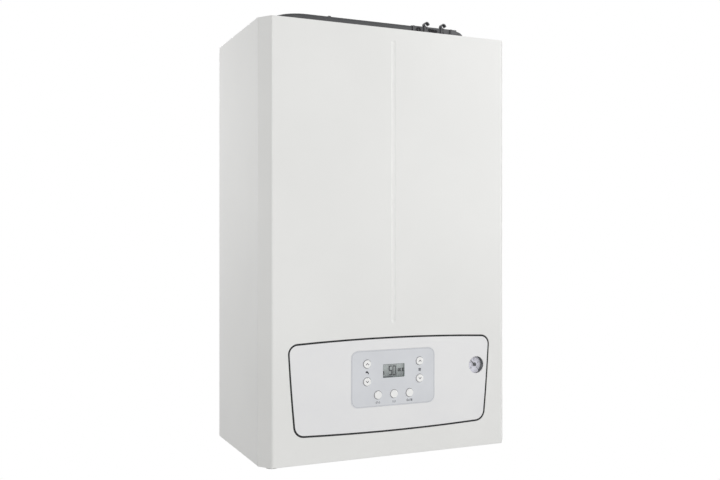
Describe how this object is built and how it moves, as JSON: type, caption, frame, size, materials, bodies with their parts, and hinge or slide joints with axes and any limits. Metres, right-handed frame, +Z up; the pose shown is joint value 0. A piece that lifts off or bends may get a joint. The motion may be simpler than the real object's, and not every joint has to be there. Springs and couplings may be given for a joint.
{
  "type": "combi boiler",
  "caption": "Compact wall-hung combi boiler with a pull-off front cover, a tilting dashboard with keys and gauge, a top hood and a full gas and water circuit inside.",
  "frame": {"origin": "on the wall plane, midway between the two hanging slots", "axes": "+X right seen from the front, +Y into the wall, +Z up"},
  "size_m": [0.45, 0.2558, 0.753],
  "materials": {
    "white_enamel": "powder-coated steel, satin",
    "galvanised_steel": "galvanised sheet",
    "stainless_steel": "brushed stainless steel",
    "screw_steel": "zinc plated",
    "white_plastic": "moulded white ABS",
    "button_plastic": "satin white ABS",
    "silver_film": "printed polyester film, silver grey",
    "display_lens": "smoked acrylic",
    "gauge_lens": "clear acrylic",
    "gauge_plastic": "moulded, light grey",
    "needle_black": "black lacquer",
    "hood_plastic": "moulded dark grey polypropylene",
    "black_plastic": "moulded black nylon",
    "black_rubber": "EPDM",
    "lead_silicone": "red silicone",
    "cast_aluminium": "cast, as blasted",
    "flue_plastic": "grey polypropylene",
    "collar_enamel": "white enamel",
    "red_enamel": "red baked enamel",
    "brass": "forged brass",
    "copper": "drawn copper tube",
    "circuit_board": "glass-fibre board with solder mask",
    "control_plastic": "moulded dark grey",
    "blue_plastic": "moulded blue",
    "red_plastic": "moulded red"
  },
  "bodies": {
    "root": {"rear_frame": "galvanised_steel", "left_side_panel": "white_enamel", "right_side_panel": "white_enamel", "top_panel": "white_enamel", "bottom_plate": "galvanised_steel", "casing_screws": "screw_steel", "pipe_grommets": "black_rubber", "top_hood": "hood_plastic", "cable_bracket": "hood_plastic", "flue_adaptor": "collar_enamel", "flue_duct": "flue_plastic", "expansion_vessel": "red_enamel", "vessel_pipe": "copper", "heat_exchanger": "cast_aluminium", "burner_door": "cast_aluminium", "burner": "stainless_steel", "ignition_electrode": "white_plastic", "ignition_lead": "lead_silicone", "condensate_sump": "black_plastic", "condensate_trap": "flue_plastic", "fan_housing": "cast_aluminium", "fan_motor": "black_plastic", "gas_air_mixer": "cast_aluminium", "air_silencer": "black_plastic", "gas_valve": "cast_aluminium", "gas_pipe": "copper", "gas_feed_pipe": "copper", "flow_pipe": "copper", "return_pipe": "copper", "flow_manifold": "brass", "return_manifold": "brass", "plate_heat_exchanger": "stainless_steel", "diverter_actuator": "white_plastic", "pump_body": "black_plastic", "pump_motor": "black_plastic", "safety_valve": "brass", "hinge_pins": "screw_steel"},
    "dashboard": {"dashboard_fascia": "white_plastic", "panel_gasket": "black_rubber", "keypad_overlay": "silver_film", "display_window": "display_lens", "control_box": "control_plastic", "circuit_board": "circuit_board", "gauge_body": "gauge_plastic", "gauge_glass": "gauge_lens"},
    "front_cover": {"front_cover": "white_enamel"},
    "gauge_needle": {"gauge_needle": "needle_black"},
    "fan_impeller": {"fan_impeller": "black_plastic"},
    "pump_impeller": {"pump_impeller": "black_plastic"},
    "diverter_spindle": {"diverter_spindle": "stainless_steel"},
    "filling_tap": {"filling_tap": "blue_plastic"},
    "safety_valve_knob": {"safety_valve_knob": "red_plastic"},
    "left_up_button": {"left_up_button": "button_plastic"},
    "left_down_button": {"left_down_button": "button_plastic"},
    "right_up_button": {"right_up_button": "button_plastic"},
    "right_down_button": {"right_down_button": "button_plastic"},
    "reset_button": {"reset_button": "button_plastic"},
    "info_button": {"info_button": "button_plastic"},
    "mode_button": {"mode_button": "button_plastic"}
  },
  "joints": [
    {"name": "front_cover_pull", "type": "slide", "parent": "root", "child": "front_cover", "axis": [0, -1, 0], "range_m": [0, 0.3]},
    {"name": "dashboard_tilt", "type": "hinge", "parent": "root", "child": "dashboard", "pos_m": [0, -0.2475, -0.584], "axis": [1, 0, 0], "range_deg": [0, 60]},
    {"name": "gauge_needle_turn", "type": "hinge", "parent": "dashboard", "child": "gauge_needle", "pos_m": [0.1575, -0.246, -0.5156], "axis": [0, 1, 0], "range_deg": [-90, 180], "stiffness_Nm_per_rad": 0.0002},
    {"name": "fan_spin", "type": "hinge", "parent": "root", "child": "fan_impeller", "pos_m": [0.14, -0.15, -0.035], "axis": [0, 1, 0], "continuous": true},
    {"name": "pump_spin", "type": "hinge", "parent": "root", "child": "pump_impeller", "pos_m": [0.14, -0.125, -0.49], "axis": [0, 1, 0], "continuous": true},
    {"name": "diverter_travel", "type": "slide", "parent": "root", "child": "diverter_spindle", "axis": [0, 0, 1], "range_m": [0, 0.005]},
    {"name": "filling_tap_turn", "type": "hinge", "parent": "root", "child": "filling_tap", "pos_m": [0.0975, -0.11, -0.664], "axis": [0, 0, 1], "range_deg": [0, 90]},
    {"name": "safety_valve_knob_turn", "type": "hinge", "parent": "root", "child": "safety_valve_knob", "pos_m": [-0.14, -0.179, -0.585], "axis": [0, 1, 0], "range_deg": [0, 90]},
    {"name": "left_up_press", "type": "slide", "parent": "dashboard", "child": "left_up_button", "axis": [0, 1, 0], "range_m": [0, 0.0012], "stiffness_N_per_m": 800},
    {"name": "left_down_press", "type": "slide", "parent": "dashboard", "child": "left_down_button", "axis": [0, 1, 0], "range_m": [0, 0.0012], "stiffness_N_per_m": 800},
    {"name": "right_up_press", "type": "slide", "parent": "dashboard", "child": "right_up_button", "axis": [0, 1, 0], "range_m": [0, 0.0012], "stiffness_N_per_m": 800},
    {"name": "right_down_press", "type": "slide", "parent": "dashboard", "child": "right_down_button", "axis": [0, 1, 0], "range_m": [0, 0.0012], "stiffness_N_per_m": 800},
    {"name": "reset_press", "type": "slide", "parent": "dashboard", "child": "reset_button", "axis": [0, 1, 0], "range_m": [0, 0.0012], "stiffness_N_per_m": 800},
    {"name": "info_press", "type": "slide", "parent": "dashboard", "child": "info_button", "axis": [0, 1, 0], "range_m": [0, 0.0012], "stiffness_N_per_m": 800},
    {"name": "mode_press", "type": "slide", "parent": "dashboard", "child": "mode_button", "axis": [0, 1, 0], "range_m": [0, 0.0012], "stiffness_N_per_m": 800}
  ]
}
